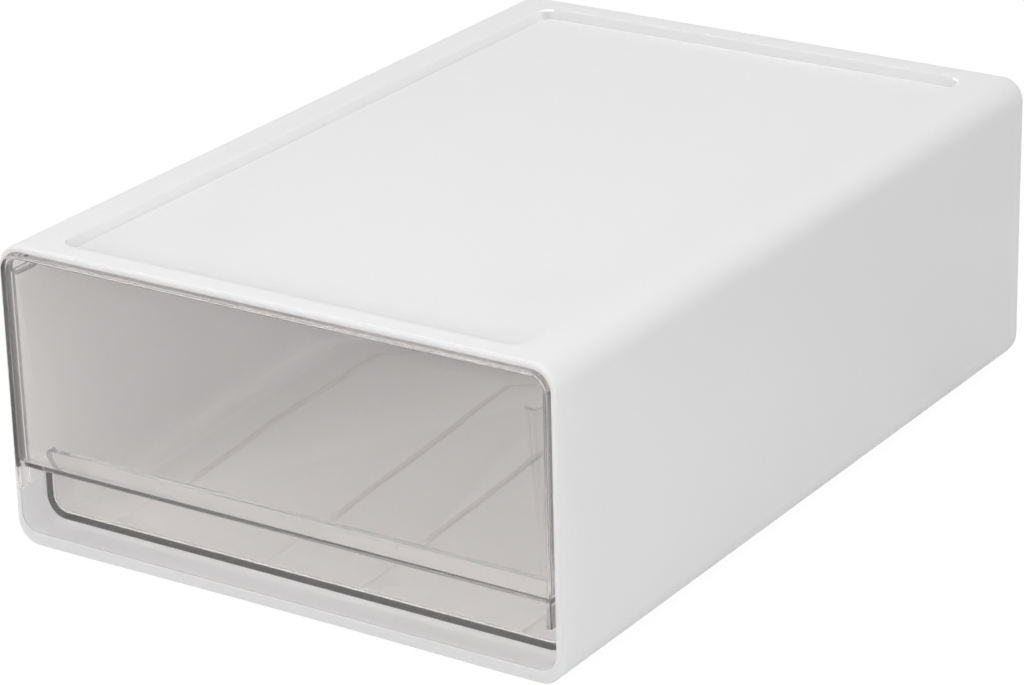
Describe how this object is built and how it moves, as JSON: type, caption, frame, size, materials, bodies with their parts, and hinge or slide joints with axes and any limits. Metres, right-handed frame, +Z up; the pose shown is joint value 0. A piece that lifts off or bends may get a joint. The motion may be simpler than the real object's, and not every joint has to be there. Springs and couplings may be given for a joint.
{
  "type": "stackable drawer box",
  "caption": "Stackable desktop storage box: a white moulded casing with a clear drawer that pulls out by a recessed finger ledge and stacks by its rim and feet.",
  "frame": {"origin": "middle of the footprint with the drawer closed, on the surface that the foot pads stand on", "axes": "+X to the right seen from the front, the drawer front faces -Y, +Z up"},
  "size_m": [0.252, 0.3734, 0.1287],
  "materials": {
    "casing_white": "fine satin moulded plastic, white, opaque",
    "drawer_clear": "clear polished moulded plastic with a faint grey cast",
    "pad_soft": "matt translucent grey soft rubber"
  },
  "bodies": {
    "casing": {"casing": "casing_white", "foot_pad_front_left": "pad_soft", "foot_pad_front_right": "pad_soft", "foot_pad_rear_left": "pad_soft", "foot_pad_rear_right": "pad_soft"},
    "drawer": {"drawer": "drawer_clear"}
  },
  "joints": [
    {"name": "drawer_slide", "type": "slide", "parent": "casing", "child": "drawer", "axis": [0, -1, 0], "range_m": [0, 0.29]}
  ]
}
